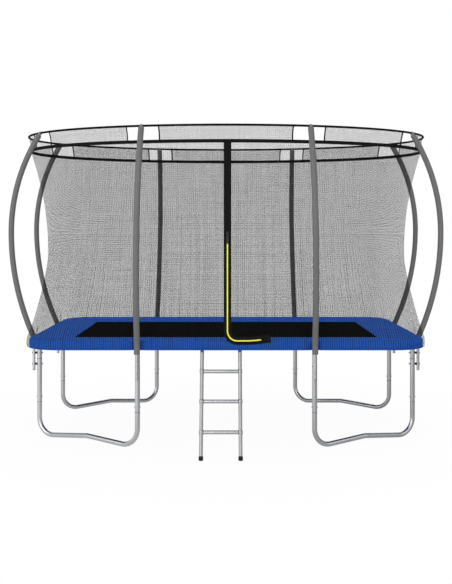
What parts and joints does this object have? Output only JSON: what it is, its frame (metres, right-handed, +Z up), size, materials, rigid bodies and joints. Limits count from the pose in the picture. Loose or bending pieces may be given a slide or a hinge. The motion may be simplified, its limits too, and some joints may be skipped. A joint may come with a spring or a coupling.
{
  "type": "trampoline",
  "caption": "Rectangular garden trampoline with a blue spring pad, bowed foam-covered net poles, an oval-topped safety net with a zip door and a hook-on ladder.",
  "frame": {"origin": "on the ground, under the middle of the whole outline, ladder and bowed poles included", "axes": "+X along the long side, to the right when facing the door; +Y from the door side to the back; +Z up"},
  "size_m": [3.83, 2.7458, 2.6792],
  "materials": {
    "galvanised_steel": "hot-dip galvanised, dull grey with a faint spangle",
    "zinc_spring_wire": "zinc-plated wire",
    "zinc_fixings": "zinc-plated, slightly dull",
    "grey_foam": "closed-cell foam in a matt grey skin",
    "black_plastic": "moulded, satin",
    "black_rubber": "matt moulded rubber",
    "black_net": "open knitted polyester net",
    "black_webbing": "woven polyester webbing",
    "blue_vinyl": "PVC-coated cloth with a fine grain, low sheen",
    "black_mat_cloth": "tightly woven polypropylene",
    "zip_tape_cloth": "herringbone zip tape",
    "yellow_zip": "moulded coil teeth",
    "black_metal": "black-coated die casting"
  },
  "bodies": {
    "frame": {"rail_front": "galvanised_steel", "rail_back": "galvanised_steel", "rail_left": "galvanised_steel", "rail_right": "galvanised_steel", "corner_front_left": "galvanised_steel", "corner_front_right": "galvanised_steel", "corner_back_left": "galvanised_steel", "corner_back_right": "galvanised_steel", "tee_joints": "galvanised_steel", "upright_front_left": "galvanised_steel", "upright_front_right": "galvanised_steel", "upright_right_front": "galvanised_steel", "upright_right_back": "galvanised_steel", "upright_back_right": "galvanised_steel", "upright_back_left": "galvanised_steel", "upright_left_back": "galvanised_steel", "upright_left_front": "galvanised_steel", "leg_base_front_left": "galvanised_steel", "leg_base_front_right": "galvanised_steel", "leg_base_back_left": "galvanised_steel", "leg_base_back_right": "galvanised_steel", "pole_front_left": "galvanised_steel", "pole_front_right": "galvanised_steel", "pole_right_front": "galvanised_steel", "pole_right_back": "galvanised_steel", "pole_back_right": "galvanised_steel", "pole_back_left": "galvanised_steel", "pole_left_back": "galvanised_steel", "pole_left_front": "galvanised_steel", "pole_bolts": "zinc_fixings", "sleeve_front_left": "grey_foam", "sleeve_front_right": "grey_foam", "sleeve_right_front": "grey_foam", "sleeve_right_back": "grey_foam", "sleeve_back_right": "grey_foam", "sleeve_back_left": "grey_foam", "sleeve_left_back": "grey_foam", "sleeve_left_front": "grey_foam", "pole_caps": "black_plastic", "pole_spacers": "black_plastic", "net_wall": "black_net", "net_collar": "black_net", "upper_ring": "black_webbing", "net_band": "black_webbing", "window_edging": "black_webbing", "safety_pad": "blue_vinyl", "zip_tape": "zip_tape_cloth", "zip_teeth": "yellow_zip", "springs": "zinc_spring_wire"},
    "mat": {"jumping_mat": "black_mat_cloth"},
    "ladder": {"ladder_rail_left": "galvanised_steel", "ladder_rail_right": "galvanised_steel", "ladder_rungs": "galvanised_steel", "ladder_collars": "galvanised_steel", "ladder_feet": "black_rubber", "ladder_hooks": "zinc_fixings"},
    "slider": {"zip_slider": "black_metal"},
    "pull": {"zip_pull": "black_metal"}
  },
  "joints": [
    {"name": "mat_bounce", "type": "slide", "parent": "frame", "child": "mat", "axis": [0, 0, 1], "range_m": [-0.3, 0], "stiffness_N_per_m": 6000, "springref_m": 0.02, "deforming": ["springs"]},
    {"name": "ladder_swing", "type": "hinge", "parent": "frame", "child": "ladder", "pos_m": [-0.041, -0.96509, 0.842], "axis": [-1, 0, 0], "range_deg": [0, 13]},
    {"name": "zip_run", "type": "hinge", "parent": "frame", "child": "slider", "pos_m": [0.012, -4.32954, 1.68565], "axis": [-1, 0, 0], "range_deg": [0, 12.91]},
    {"name": "pull_flip", "type": "hinge", "parent": "slider", "child": "pull", "pos_m": [0.012, -0.92905, 1.77478], "axis": [-1, 0, 0], "range_deg": [0, 150]}
  ]
}
